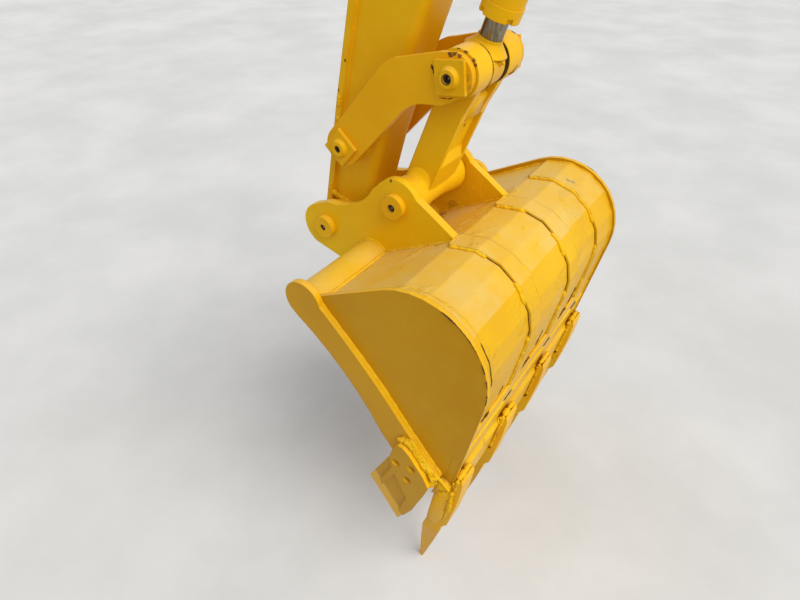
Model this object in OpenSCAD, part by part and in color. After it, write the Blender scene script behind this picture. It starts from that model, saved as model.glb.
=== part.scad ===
// Dipper arm of a six tonne crawler excavator with its bucket linkage, bucket cylinder and bucket.
// The origin is the centre of the boom pin bore. +X points away from the machine, +Z is up, and all pins
// lie along Y. The arm hangs from the boom pin and the bucket stands on its teeth.

/* [Pose] */
// Lean of the arm's pin line from the vertical, degrees
arm_lean = 12; // [8:0.5:16]
// Swing of the tooth tips out from below the bucket pin, degrees
bucket_swing = 27.7; // [24:0.1:31]

/* [Arm] */
// Distance from the bucket pin to the boom pin
arm_len = 1600; // [1500:10:1750]
// Width of the arm box over its side plates
arm_w = 124; // [110:1:140]
// Thickness of the box plates
arm_wall = 8; // [6:0.5:12]
// Bend radius of the long corners on the back
arm_bend_r = 20; // [12:1:26]
// Thickness of the under plate
under_t = 16; // [12:1:20]
// How far the under plate stands out past each side plate
under_proud = 12; // [6:1:16]
// Depth of the box from the pin line to the back at the nose
nose_back = 62; // [58:1:70]
// Depth from the pin line to the under plate at the nose
nose_under = 39; // [35:1:44]
// Radius of the nose around the bucket pin
nose_r = 56; // [53:0.5:60]

/* [Pins and bosses] */
// Diameter of the bucket and linkage pins
pin_d = 45; // [40:1:50]
// Radial running clearance of every pin
pin_clear = 0.05; // [0.02:0.01:0.1]
// Outer radius of the bucket pin boss
nose_boss_r = 46; // [42:0.5:50]
// Outer radius of the guide link boss
link_boss_r = 44; // [40:0.5:48]
// Diameter of the boom pin bore
boom_pin_d = 55; // [50:1:60]
// Outer radius of the boom pin boss
boom_boss_r = 58; // [54:1:64]
// Length of the boom pin boss
boom_boss_l = 198; // [180:2:220]
// Diameter of the arm cylinder's pin bore
rear_pin_d = 50; // [44:1:54]
// Outer radius of the round end collars on the bucket pins
collar_r = 30; // [27:0.5:34]
// Thickness of those collars
collar_t = 18; // [12:1:24]
// Side of the square end plates on the guide link pins
square_side = 65; // [60:1:70]
// Thickness of those square plates
square_t = 10; // [8:1:14]
// Radius of the domed pin heads on the square plates
dome_r = 23; // [20:0.5:26]
// Height of the domed pin heads
dome_h = 10; // [8:1:14]
// Diameter of the grease hole in each pin end
grease_d = 17; // [12:1:19]

/* [Linkage] */
// Guide link pin on the arm, distance along the arm from the bucket pin
guide_s = 223.5; // [215:0.5:235]
// Guide link pin, distance off the pin line towards the back
guide_t = 5; // [0:1:14]
// Pin spacing of the guide links
guide_len = 350.5; // [342:0.5:360]
// Where the guide link bends, along its pin line
bend_x = 226; // [205:1:245]
// How far the bend stands off the pin line
bend_z = 51; // [40:1:60]
// Radius of the guide links around the arm's pin
guide_r0 = 46; // [43:0.5:49]
// Radius of the guide links around the top pin
guide_r1 = 44; // [41:0.5:47]
// Distance from the middle to the guide links' outer faces
guide_out = 113; // [111:0.5:115]
// Thickness of each guide link
guide_plate_t = 16; // [13:1:18]
// Side play between the guide links and the bosses between them
side_play = 1; // [0.5:0.25:2]
// Pin spacing of the push link
push_len = 321; // [315:1:330]
// Half width of the push link's body over its two legs
body_half = 60; // [54:1:66]
// Depth of the push link's body from its machine side to its outer side
body_depth = 69; // [62:1:76]
// Depth of the pockets in the body
pocket_t = 12; // [8:1:16]
// Radius of the push link's upper bosses
push_boss_r = 48.5; // [45:0.5:51]
// Radius of the push link's lower boss at its middle
waist_r = 42; // [38:0.5:46]
// Radius of the flanges at the ends of the lower boss
flange_r = 51; // [48:0.5:54]
// Half of the gap between the upper bosses that takes the rod eye
eye_slot_half = 36; // [33:0.5:40]

/* [Bucket cylinder] */
// Base pin, distance along the arm from the bucket pin
base_s = 1404; // [1380:1:1430]
// Base pin, distance off the pin line
base_t = 356; // [340:1:370]
// Outer diameter of the barrel
barrel_d = 79; // [76:1:86]
// Diameter of the rod
rod_d = 48; // [44:1:54]
// Diameter of the gland head
gland_d = 83; // [80:1:92]
// Length of the gland head
gland_l = 26; // [22:1:34]
// Distance from the rod's eye to the gland with the arm as drawn
rod_show = 98; // [94:1:110]
// Outer radius of the eyes at both ends
eye_r = 46; // [43:0.5:49]
// Half width of the barrel's eye
eye_half = 31; // [28:0.5:32]
// Where the rod's eye starts, close to the push link's right boss
eye_from = -35; // [-35.5:0.5:-28]
// Where it ends, with a gap to the left boss
eye_to = 20; // [18:0.5:32]

/* [Bucket] */
// Width over the side plates
bucket_w = 756; // [720:2:800]
// Thickness of the side plates
side_t = 12; // [8:1:16]
// Thickness of the shell
shell_t = 10; // [8:1:12]
// How far the side plates stand out past the shell
rim_proud = 14; // [10:1:17]
// Height of the bucket's top plate below the bucket pin
top_drop = 86; // [82:1:90]
// Outer radius of the upper heel bend
heel_r1 = 165; // [155:1:175]
// Outer radius of the lower heel bend
heel_r2 = 190; // [180:1:200]
// Where the upper heel bend is centred, out from the bucket pin
heel_u = 360; // [350:1:372]
// Turn of the lower heel bend, degrees
heel_turn = 37.5; // [35:0.5:40]
// Length of the straight floor from the heel bend to the side plates' corner
floor_len = 297; // [285:1:310]
// Radius of the torque tube
tube_r = 50; // [46:0.5:54]
// Thickness of the torque tube's wall
tube_wall = 10; // [8:0.5:14]
// Link pin on the bucket, out from the bucket pin
link_u = 251; // [245:1:257]
// Link pin, height above the bucket pin
link_w = 8; // [4:1:12]
// Gap between the two ears
ear_gap = 224; // [218:1:230]
// Thickness of each ear
ear_t = 22; // [18:1:26]
// Radius of the ears around the bucket pin
ear_r1 = 62; // [58:1:66]
// How far the ears reach out past that pin towards the machine
ear_shift = 17; // [12:1:22]
// Radius of the ears around the link pin
ear_r2 = 62.5; // [58:0.5:66]
// Thickness of the side bars
bar_t = 16; // [12:1:20]

/* [Lip and teeth] */
// Thickness of the lip plate at its front
lip_t = 28; // [24:1:32]
// Length of the lip plate behind the side plates' corner
lip_back = 100; // [85:1:115]
// How far the lip runs out past that corner
lip_over = 140; // [125:1:155]
// Number of teeth
teeth = 4; // [3:1:5]
// Width of the tooth adapters
adapter_w = 58; // [50:1:64]
// Thickness of the adapters' legs
leg_t = 12; // [10:1:14]
// Gap between the lip and the adapters' outer legs
leg_gap = 7; // [4:1:9]
// Distance from the corner to the back of the teeth
tooth_from = 205; // [195:1:215]
// Distance from the corner to the tips of the teeth
tooth_to = 470; // [450:1:490]
// Width of each tooth at its back
tooth_w = 62; // [56:1:66]
// Width of the pointed end
point_w = 10; // [6:1:16]
// Thickness of the side cutters' plates
cutter_t = 14; // [12:1:18]
// Height of the raised part of the side cutters
cutter_pad = 8; // [5:1:10]

/* [Hidden] */
$fn = 64;
yellow = [0.93, 0.68, 0.11];
chrome = [0.62, 0.63, 0.64];
pin_r = pin_d / 2;
bore_r = pin_r + pin_clear;

// Points are [x, z] pairs in the plane of the linkage. A turn by a degrees follows the right-hand rule
// about +Y, so it takes the downward direction towards the machine.
function turn(p, a) = [p[0] * cos(a) + p[1] * sin(a), -p[0] * sin(a) + p[1] * cos(a)];
function dist(a, b) = norm([b[0] - a[0], b[1] - a[1]]);
function bearing(a, b) = -atan2(b[1] - a[1], b[0] - a[0]);
// The crossing of two circles that lies to the left of the way from a to b
function crossing(a, ra, b, rb) =
    let (d = dist(a, b), u = (b - a) / d, m = (d * d + ra * ra - rb * rb) / (2 * d), h = sqrt(ra * ra - m * m))
    a + u * m + [-u[1], u[0]] * h;
// Points along the circle through three points, from the first to the last
function arc3(a, b, c, n = 8) =
    let (d = 2 * (a[0] * (b[1] - c[1]) + b[0] * (c[1] - a[1]) + c[0] * (a[1] - b[1])),
         qa = a * a, qb = b * b, qc = c * c,
         m = [(qa * (b[1] - c[1]) + qb * (c[1] - a[1]) + qc * (a[1] - b[1])) / d,
              (qa * (c[0] - b[0]) + qb * (a[0] - c[0]) + qc * (b[0] - a[0])) / d],
         r = dist(m, a), t0 = atan2(a[1] - m[1], a[0] - m[0]), t1 = atan2(c[1] - m[1], c[0] - m[0]),
         left = (b[0] - a[0]) * (c[1] - a[1]) - (b[1] - a[1]) * (c[0] - a[0]) > 0,
         span = left ? (t1 > t0 ? t1 - t0 : t1 - t0 + 360) : (t1 < t0 ? t1 - t0 : t1 - t0 - 360))
    [for (i = [0:n]) m + r * [cos(t0 + span * i / n), sin(t0 + span * i / n)]];
function arc(m, r, t0, t1, n = 12) =
    [for (i = [0:n]) let (t = t0 + (t1 - t0) * i / n) m + r * [cos(t), sin(t)]];
// Gap between a faceted face and the round piece that is welded to it
seat_gap = 0.2;
// The pin centres in the part's frame
A = turn([0, -arm_len], arm_lean);
B = A + turn([guide_t, guide_s], arm_lean);
D = A + turn([link_u, link_w], -bucket_swing);
C = crossing(B, guide_len, D, push_len);
K = A + turn([base_t, base_s], arm_lean);
cyl_len = dist(K, C);

// Frames: the arm's has Z along the pin line and X to the back, and the bucket's has its tips below the pin
module at(p) { translate([p[0], 0, p[1]]) children(); }
module in_arm() { at(A) rotate([0, arm_lean, 0]) children(); }
module in_bucket() { at(A) rotate([0, -bucket_swing, 0]) children(); }
module in_guide() { at(B) rotate([0, bearing(B, C), 0]) children(); }
module in_push() { at(D) rotate([0, bearing(D, C) + 90, 0]) children(); }
module in_cylinder() { at(K) rotate([0, bearing(K, C) + 90, 0]) children(); }
// A plate from y0 to y1 with its outline in X and Z
module plate(y0, y1) { translate([0, y1, 0]) rotate([90, 0, 0]) linear_extrude(y1 - y0) children(); }
module bar_y(r, y0, y1) { translate([0, y0, 0]) rotate([-90, 0, 0]) cylinder(r = r, h = y1 - y0); }
module both_sides() { children(); mirror([0, 1, 0]) children(); }

// Arm

// Depth of the back and of the under plate's inner face from the pin line, at distances along the arm
nose_low = 18;
back_line = [[0, nose_back], [250, nose_back + 17], [arm_len - 200, 250], [arm_len - 60, 262], [arm_len + 280, 170]];
under_line = [[nose_low, -nose_under], [300, -nose_under], [522, 5 - nose_under], [900, -46],
              [arm_len - 120, -82], [arm_len + 90, -82], [arm_len + 280, 30]];
high_stations = [900, arm_len - 200, arm_len - 120, arm_len - 60, arm_len + 90];
stations = concat([nose_low, 250, 300, 522], high_stations, [arm_len + 280]);
rear_low = [30, arm_len + 280];
rear_high = [170, arm_len + 280];
rear_pin_t = 108;
rear_pin_up = 345;
rear_pin = [rear_pin_t, arm_len + rear_pin_up];
// One cross-section at s, with its two back corners rounded, from depth tu to depth tb
function arm_section(s, tu, tb, w, r, n = 5) = concat(
    [[tu, -w / 2, s]],
    [for (i = [0:n]) [tb - r + r * sin(90 * i / n), -w / 2 + r - r * cos(90 * i / n), s]],
    [for (i = [n:-1:0]) [tb - r + r * sin(90 * i / n), w / 2 - r + r * cos(90 * i / n), s]],
    [[tu, w / 2, s]]);
function arm_station(s, d) = arm_section(s, lookup(s, under_line) + d, lookup(s, back_line) - d,
                                         arm_w - 2 * d, arm_bend_r - d / 2);
function nose_section(a) = arm_section(nose_r * sin(a), -nose_r * cos(a), nose_r * cos(a), arm_w,
                                       min(arm_bend_r, nose_r * cos(a) / 2));
// A closed solid through sections that have as many points each
module loft(sections) {
    m = len(sections);
    n = len(sections[0]);
    polyhedron([for (q = sections) each q], concat(
        [[for (j = [0:n - 1]) j]],
        [[for (j = [n - 1:-1:0]) (m - 1) * n + j]],
        [for (i = [0:m - 2], j = [0:n - 1]) each
            [[i * n + j, (i + 1) * n + j, i * n + (j + 1) % n],
             [i * n + (j + 1) % n, (i + 1) * n + j, (i + 1) * n + (j + 1) % n]]]));
}
module arm_box() color(yellow) in_arm() difference() {
    loft(concat([for (a = [-75:25:0]) nose_section(a)], [for (s = stations) arm_station(s, 0)]));
    loft([for (s = concat([nose_r + 20, 250, 300, 522], high_stations, [arm_len + 260])) arm_station(s, arm_wall)]);
    for (b = [[0, 0, nose_boss_r], [guide_t, guide_s, link_boss_r], [0, arm_len, boom_boss_r]])
        translate([b[0], 0, b[1]]) bar_y(b[2] + seat_gap, -arm_w, arm_w);
}
module arm_under_plate() color(yellow) in_arm()
    plate(-arm_w / 2 - under_proud, arm_w / 2 + under_proud) difference() {
        polygon(concat([for (q = under_line) [q[1], q[0]]],
                       [for (i = [len(under_line) - 1:-1:0]) [under_line[i][1] - under_t, under_line[i][0]]]));
        circle(r = nose_boss_r + seat_gap);
        translate([guide_t, guide_s]) circle(r = link_boss_r + seat_gap);
        translate([0, arm_len]) circle(r = boom_boss_r + seat_gap);
    }
module boss(r, r_in, half) { difference() { bar_y(r, -half, half); bar_y(r_in, -half - 1, half + 1); } }
inner_half = ear_gap / 2;
module nose_boss() color(yellow) at(A) boss(nose_boss_r, bore_r, inner_half - 2);
guide_in = guide_out - guide_plate_t;
push_out = guide_in - side_play;
module guide_boss() color(yellow) at(B) boss(link_boss_r, bore_r, push_out);
module boom_boss() color(yellow) boss(boom_boss_r, boom_pin_d / 2, boom_boss_l / 2);

rear_lug_r = 50;
rear_gap = 92;
rear_lug_t = 25;
module rear_bracket() color(yellow) in_arm() both_sides()
    plate(rear_gap / 2, rear_gap / 2 + rear_lug_t) difference() {
        union() {
            translate(rear_pin) circle(r = rear_lug_r);
            polygon([[rear_low[0] + 20, rear_low[1]], [rear_high[0] - 5, rear_high[1]],
                     rear_pin + [rear_lug_r, 0], rear_pin - [rear_lug_r, 0]]);
        }
        translate([-500, rear_low[1] - 500]) square([1000, 500]);
        translate(rear_pin) circle(r = rear_pin_d / 2);
    }
base_gap = 66;
base_lug_t = 20;
base_lug_r = 46;
module cylinder_bracket() color(yellow) in_arm() both_sides()
    plate(base_gap / 2, base_gap / 2 + base_lug_t) difference() {
        union() {
            translate([base_t, base_s]) circle(r = base_lug_r);
            polygon([[235, base_s - 120], [base_t - 36, base_s - 30], [base_t + 14, base_s + 44],
                     [250, base_s + 130]]);
        }
        polygon(concat([[0, 0]], [for (q = back_line) [q[1], q[0]]]));
        translate([base_t, base_s]) circle(r = bore_r);
    }
module cylinder_base_pin() color(yellow) at(K) {
    bar_y(pin_r, -base_gap / 2 - base_lug_t, base_gap / 2 + base_lug_t);
    both_sides() bar_y(collar_r, base_gap / 2 + base_lug_t, base_gap / 2 + base_lug_t + 12);
}

// Linkage

bend = [bend_x, bend_z];
guide_end = [guide_len, 0];
// The plate runs around the arm's pin, along its under side, around the top pin and back over its bend
guide_line = concat(
    arc([0, 0], guide_r0, 105, 280, 14),
    arc3(bend + [-36, -59], bend + [0, -55], bend + [36, -65], 5), [guide_end + [-50, -36]],
    arc(guide_end, guide_r1, -88, 50), [guide_end + [0, guide_r1 + 6.5]],
    arc3(bend + [36, 34.5], bend + [10, 44], bend + [-21, 42.5], 5));
module guide_2d() difference() {
    polygon(guide_line);
    for (p = [[0, 0], guide_end]) translate(p) circle(r = bore_r);
}
module guide_link_right() color(yellow) in_guide() plate(-guide_out, -guide_in) guide_2d();
module guide_link_left() color(yellow) in_guide() plate(guide_in, guide_out) guide_2d();
module square_end(tilt) {
    difference() {
        union() {
            rotate([0, tilt, 0]) translate([-square_side / 2, guide_out, -square_side / 2])
                cube([square_side, square_t, square_side]);
            translate([0, guide_out + square_t, 0]) rotate([-90, 0, 0])
                cylinder(r1 = dome_r, r2 = dome_r - 6, h = dome_h);
        }
        bar_y(grease_d / 2, guide_out, guide_out + square_t + dome_h + 1);
    }
}
module guide_pin() color(yellow) at(B) {
    bar_y(pin_r, -guide_out, guide_out);
    both_sides() square_end(41);
}
module top_pin() color(yellow) at(C) both_sides() {
    bar_y(pin_r, eye_slot_half, guide_out);
    square_end(-7);
}

body_in = -36;
body_out = body_in + body_depth;
// The fork is cut deeper than the eye needs, because the eye drifts from its pin in the opened loop
slot_root = push_len - eye_r - 66;
low_half = inner_half - 2.5;
flange_at = low_half - 22;
flange_t = 12;
cone_at = 28;
pocket_low = 92;
pocket_high = 212;
// One pocket, cut into the face at x with the depth d to its inside
module pocket(x, d) plate(pocket_t - body_half, body_half - pocket_t)
    polygon([[x, pocket_high], [x - d, pocket_high - 8], [x - d, pocket_low + 26], [x, pocket_low],
             [x + d, pocket_low], [x + d, pocket_high]]);
module push_link() color(yellow) in_push() difference() {
    union() {
        translate([0, 0, push_len]) bar_y(push_boss_r, -push_out, push_out);
        plate(-body_half, body_half)
            polygon([[body_in, 0], [body_out, 0], [body_out, push_len - 90], [body_out + 6, push_len - 45],
                     [body_out + 8, push_len], [body_in - 6, push_len], [body_in - 1, push_len - 60]]);
        bar_y(waist_r, -cone_at, cone_at);
        both_sides() {
            translate([0, cone_at, 0]) rotate([-90, 0, 0])
                cylinder(r1 = waist_r, r2 = flange_r, h = flange_at - cone_at);
            bar_y(flange_r, flange_at, flange_at + flange_t);
            bar_y(waist_r + 4, flange_at + flange_t, low_half);
        }
    }
    bar_y(bore_r, -low_half - 1, low_half + 1);
    translate([0, 0, push_len]) bar_y(bore_r, -push_out - 1, push_out + 1);
    plate(-eye_slot_half, eye_slot_half) translate([-100, slot_root]) square([200, 200]);
    pocket(body_out, pocket_t);
    pocket(body_in, -pocket_t);
}

// Bucket cylinder: Z runs from the base pin to the rod's eye

barrel_from = 50;
gland_at = cyl_len - rod_show - gland_l;
module barrel_eye() color(yellow) in_cylinder() difference() {
    union() {
        bar_y(eye_r, -eye_half, eye_half);
        cylinder(r = barrel_d / 2 - 4, h = barrel_from);
    }
    bar_y(bore_r, -eye_half - 1, eye_half + 1);
    both_sides() translate([-60, eye_half, -60]) cube([120, 40, 120]);
}
module cylinder_barrel() color(yellow) in_cylinder() difference() {
    translate([0, 0, barrel_from]) cylinder(r = barrel_d / 2, h = gland_at - barrel_from);
    translate([0, 0, barrel_from + 25]) cylinder(r = barrel_d / 2 - 7, h = gland_at);
}
notch_w = 12;
module cylinder_gland() color(yellow) in_cylinder() difference() {
    translate([0, 0, gland_at]) cylinder(r = gland_d / 2, h = gland_l);
    translate([0, 0, gland_at - 1]) cylinder(r = rod_d / 2 + pin_clear, h = gland_l + 2);
    for (a = [-55, 35, 125, 215]) rotate([0, 0, a])
        translate([gland_d / 2 - 5, -notch_w / 2, gland_at + gland_l - 10]) cube([notch_w, notch_w, notch_w]);
}
// The rod ends in a neck that is a little wider and flares where it meets the eye
rod_start = 180;
eye_neck = 57;
neck_r = rod_d / 2 + 2.5;
module cylinder_rod() color(chrome) in_cylinder()
    translate([0, 0, rod_start]) cylinder(r = rod_d / 2, h = cyl_len - eye_neck - rod_start);
module rod_eye() color(yellow) in_cylinder() difference() {
    union() {
        translate([0, 0, cyl_len]) bar_y(eye_r, eye_from, eye_to);
        translate([0, 0, cyl_len - eye_neck]) cylinder(r = neck_r, h = eye_neck - bore_r - 4);
        intersection() {
            translate([0, 0, cyl_len - eye_neck + 6]) cylinder(r1 = neck_r, r2 = eye_r, h = 20);
            translate([-eye_r, eye_from, 0]) cube([2 * eye_r, eye_to - eye_from, cyl_len]);
        }
    }
    translate([0, 0, cyl_len]) bar_y(bore_r, eye_from - 1, neck_r + 1);
}

// Bucket: outlines in the bucket's frame, u out from the pin and w up

floor_dir = [-sin(heel_turn), -cos(heel_turn)];
floor_out = [cos(heel_turn), -sin(heel_turn)];
heel_w = -top_drop - heel_r1;
heel_m1 = [heel_u, heel_w];
heel_m2 = [heel_u + heel_r1 - heel_r2, heel_w];
floor_top = heel_m2 + heel_r2 * floor_out;
corner = floor_top + floor_dir * floor_len;
tube_at = [112, -108];
mouth_top = [108, -top_drop];
// The line d inside the rim from the mouth's top to the corner. It bends at the turns in high, degrees around
// the upper heel bend's centre, and at those in low, around the lower one's.
function wrap(d, high, low) = concat(
    [mouth_top - [0, d]],
    [for (t = high) heel_m1 + (heel_r1 - d) * [cos(t), sin(t)]],
    [for (t = low) heel_m2 + (heel_r2 - d) * [cos(t), -sin(t)]],
    [corner - floor_out * d]);
// The side plates are cut round, and the shell is bent in flats
function rim_line(d) = wrap(d, [for (i = [0:8]) 90 - 90 * i / 8], [for (i = [1:4]) heel_turn * i / 4]);
fold_high = [84, 58, 36, 14];
fold_low = [8, 23, heel_turn];
folds = len(fold_high) + len(fold_low);
function shell_line(d) = wrap(d, fold_high, fold_low);
function reverse(p) = [for (i = [len(p) - 1:-1:0]) p[i]];
module inside_2d() polygon(shell_line(rim_proud));
// Places near the mouth: s from 0 at the side bar's top to 1 at the corner, n across it towards the heel
bar_top = [122, -88];
bar_dir = (corner - bar_top) / norm(corner - bar_top);
bar_nrm = [-bar_dir[1], bar_dir[0]];
function by_mouth(s, n) = bar_top + (corner - bar_top) * s + bar_nrm * n;
mouth_edge = concat(arc3(by_mouth(0.06, -35), by_mouth(0.37, -32), by_mouth(0.66, -66), 6),
                    [by_mouth(0.87, -73), by_mouth(1.04, -57)]);
module side_2d() polygon(concat(rim_line(0), reverse(mouth_edge)));
module tube_2d() translate(tube_at) circle(r = tube_r);
// Along the floor: a is the distance past the corner towards the teeth, b the height inside the rim line
function floor_pt(a, b) = corner + floor_dir * a - floor_out * b;
function floor_line(table) = [for (q = table) floor_pt(q[0], q[1])];
// The lip's inner face carries on the shell's, and its outer face steps out at the corner
lip_in = rim_proud + shell_t;
lip_out = lip_in - lip_t;
module lip_2d() polygon(floor_line([
    [-lip_back, lip_out + 10], [-6, lip_out + 10], [8, lip_out], [lip_over - 20, lip_out], [lip_over, lip_out + 8],
    [lip_over, lip_in - 8], [lip_over - 22, lip_in], [-lip_back, lip_in]]));
// The side plates and bars end where the adapters' inner legs start
leg_from = 20;
module past_legs() polygon(floor_line([[leg_from, -100], [leg_from, 100], [300, 100], [300, -100]]));
inside_half = bucket_w / 2 - side_t;
module bucket_shell() color(yellow) in_bucket() plate(-inside_half, inside_half) difference() {
    polygon(concat(shell_line(rim_proud), reverse(shell_line(rim_proud + shell_t))));
    tube_2d();
    lip_2d();
}
module side_plate_2d() difference() {
    side_2d();
    past_legs();
    tube_2d();
    lip_2d();
}
module side_plate_right() color(yellow) in_bucket() plate(-bucket_w / 2, -inside_half) side_plate_2d();
module side_plate_left() color(yellow) in_bucket() plate(inside_half, bucket_w / 2) side_plate_2d();
bar_r = 50;
bar_front = concat(arc3(by_mouth(0.02, -50), by_mouth(0.36, -45), by_mouth(0.65, -78), 6),
                   [by_mouth(0.86, -94), by_mouth(1, -84)]);
bar_rear = concat([by_mouth(0.94, -9)], arc3(by_mouth(0.67, 8), by_mouth(0.43, 27), by_mouth(0.03, 38), 6));
module side_bar_2d() difference() {
    union() {
        polygon(concat(bar_front, bar_rear));
        translate(bar_top) circle(r = bar_r);
    }
    lip_2d();
    past_legs();
}
bar_face = bucket_w / 2 + bar_t;
module side_bar_right() color(yellow) in_bucket() plate(-bar_face, -bucket_w / 2) side_bar_2d();
module side_bar_left() color(yellow) in_bucket() plate(bucket_w / 2, bar_face) side_bar_2d();
module torque_tube() color(yellow) in_bucket() at(tube_at) difference() {
    bar_y(tube_r, -bucket_w / 2, bucket_w / 2);
    bar_y(tube_r - tube_wall, -inside_half + 10, inside_half - 10);
}
link_at = [link_u, link_w];
module ear_2d() difference() {
    polygon(concat(
        arc([-ear_shift, 0], ear_r1, 90, 215),
        [[-5, -93], [60, -150], [heel_u + 15, -150], [heel_u + 16, -top_drop - rim_proud], [heel_u - 18, -40]],
        arc(link_at, ear_r2, 0, 116),
        arc3(link_at + [-44, 52], [112, 34], [40, ear_r1 - 5], 6)));
    inside_2d();
    tube_2d();
    circle(r = bore_r);
    translate(link_at) circle(r = bore_r);
}
module ear_right() color(yellow) in_bucket() plate(-inner_half - ear_t, -inner_half) ear_2d();
module ear_left() color(yellow) in_bucket() plate(inner_half, inner_half + ear_t) ear_2d();
module pin_collar() difference() {
    bar_y(collar_r, inner_half + ear_t, inner_half + ear_t + collar_t);
    bar_y(grease_d / 2, inner_half + ear_t + 4, inner_half + ear_t + collar_t + 1);
}
module bucket_pin() color(yellow) at(A) {
    bar_y(pin_r, -inner_half - ear_t, inner_half + ear_t);
    both_sides() pin_collar();
}
module link_pins() color(yellow) at(D) both_sides() {
    bar_y(pin_r, inner_half, inner_half + ear_t);
    pin_collar();
}
module lip_plate() color(yellow) in_bucket() plate(-bucket_w / 2, bucket_w / 2) lip_2d();
heel_plate_t = 7;
heel_from = -155;
module heel_plate() color(yellow) in_bucket() plate(-inside_half + 2, inside_half - 2)
    polygon(floor_line([[heel_from, rim_proud], [heel_from, rim_proud - heel_plate_t],
                        [-lip_back, rim_proud - heel_plate_t], [-lip_back, rim_proud]]));
// The straps run from the ears' ends over the heel to the heel plate, at unequal places as in the photo
strap_t = 6;
strap_table = [[-inside_half, 20 - inside_half], [-160, -106], [60, 117], [252, inside_half]];
function strap_line(d) = concat([for (i = [1:folds]) shell_line(d)[i]], [floor_pt(heel_from, d)]);
strap_seat = 0.3;
module wear_straps() color(yellow) in_bucket() for (y = strap_table)
    plate(y[0], y[1])
        polygon(concat(strap_line(rim_proud - strap_t), reverse(strap_line(rim_proud - strap_seat))));

// Teeth and their adapters. Here X runs along the floor past the corner, and Z out of the floor.
module in_floor() translate([corner[0], 0, corner[1]]) rotate([0, bearing([0, 0], floor_dir), 0]) children();
tooth_pitch = (bucket_w - adapter_w - 8) / (teeth - 1);
tooth_axis = 13;
socket_len = 95;
socket_half = 16;
module in_tooth_row() for (k = [0:teeth - 1]) translate([0, (k - (teeth - 1) / 2) * tooth_pitch, 0]) children();
// The adapter's nose, which the tooth's hollow clears by g
module nose_2d(g) polygon(floor_line([
    [tooth_from - 5, tooth_axis - 14 - g], [tooth_from + socket_len + g, tooth_axis - 7 - g],
    [tooth_from + socket_len + g, tooth_axis + 7 + g], [tooth_from - 5, tooth_axis + 14 + g]]));
leg_out = lip_out - leg_gap;
module adapter_2d() difference() {
    polygon(floor_line([
        [leg_from, lip_in], [leg_from, lip_in + leg_t - 4], [leg_from + 12, lip_in + leg_t],
        [tooth_from, lip_in + leg_t - 4], [tooth_from, leg_out - 2], [tooth_from - 20, leg_out - leg_t],
        [leg_from + 40, leg_out - leg_t - 2], [leg_from - 30, leg_out - leg_t + 2], [leg_from - 45, leg_out - 3], [leg_from - 40, leg_out],
        [lip_over - 16, leg_out], [lip_over + 2, lip_out + 9], [lip_over + 2, lip_in]]));
    lip_2d();
}
module adapters() color(yellow) in_bucket() in_tooth_row() {
    plate(-adapter_w / 2, adapter_w / 2) adapter_2d();
    plate(-socket_half, socket_half) nose_2d(0);
}
module tooth_2d() polygon(floor_line([
    [tooth_from, tooth_axis + 17], [tooth_from + 40, tooth_axis + 23], [tooth_from + 125, tooth_axis + 17],
    [tooth_to, tooth_axis + 5], [tooth_to, tooth_axis - 5], [tooth_from + 90, tooth_axis - 21],
    [tooth_from + 10, tooth_axis - 25], [tooth_from, tooth_axis - 23]]));
tooth_plan = [[tooth_from, tooth_w / 2 - 2], [tooth_from + 12, tooth_w / 2], [tooth_from + 50, tooth_w / 2],
              [tooth_to, point_w / 2]];
tooth_play = 0.5;
module teeth() color(yellow) in_bucket() in_tooth_row() difference() {
    intersection() {
        plate(-tooth_w / 2, tooth_w / 2) tooth_2d();
        in_floor() translate([0, 0, -100]) linear_extrude(200)
            polygon(concat(tooth_plan, [for (q = reverse(tooth_plan)) [q[0], -q[1]]]));
    }
    plate(-socket_half - tooth_play, socket_half + tooth_play) nose_2d(tooth_play);
}

// Side cutters: a runs from the corner along the side bar's chord, n across it
function by_corner(a, n) = corner + bar_dir * a + bar_nrm * n;
function cutter_line(table) = [for (q = table) by_corner(q[0], q[1])];
cutter_holes = [[-114, -76], [-88, -40], [-62, -86]];
module cutter_outline() polygon(cutter_line([
    [-87, -240], [58, -273], [54, -257], [40, -210], [27, -159], [6, -111], [-10, -72], [-29, -35], [-62, -22],
    [-94, -17], [-123, -12], [-146, -13], [-156, -22], [-152, -48], [-133, -84], [-106, -178]]));
// The raised part: the pad around the holes and a ridge on each side of the pocket
module cutter_raised() polygon(cutter_line([
    [31, -217], [40, -210], [27, -159], [6, -111], [-10, -72], [-29, -35], [-62, -22], [-94, -17], [-123, -12],
    [-146, -13], [-156, -22], [-152, -48], [-133, -84], [-104, -106], [-80, -184], [-62, -197], [-84, -116],
    [-13, -143], [22, -212]]));
module cutter_holes_2d() for (h = cutter_holes) translate(by_corner(h[0], h[1])) circle(r = 11);
cutter_face = bar_face + cutter_t;
cutter_bevel = 7;
cutter_band = 46;
edge_from = by_corner(-87, -240);
edge_to = by_corner(58, -273);
module side_cutter() difference() {
    union() {
        plate(bar_face, cutter_face) cutter_outline();
        plate(cutter_face, cutter_face + cutter_pad) cutter_raised();
    }
    plate(bar_face - 1, cutter_face + cutter_pad + 1) cutter_holes_2d();
    // The cutting edge is ground down to a bevel
    at(edge_from) rotate([0, bearing(edge_from, edge_to), 0]) translate([-60, 0, 0]) rotate([0, 90, 0])
        linear_extrude(300)
            polygon([[10, cutter_face - cutter_bevel], [10, cutter_face + 1], [-cutter_band, cutter_face + 1],
                     [-cutter_band, cutter_face], [0, cutter_face - cutter_bevel]]);
}
module side_cutter_left() color(yellow) in_bucket() side_cutter();
module side_cutter_right() color(yellow) in_bucket() mirror([0, 1, 0]) side_cutter();

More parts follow.
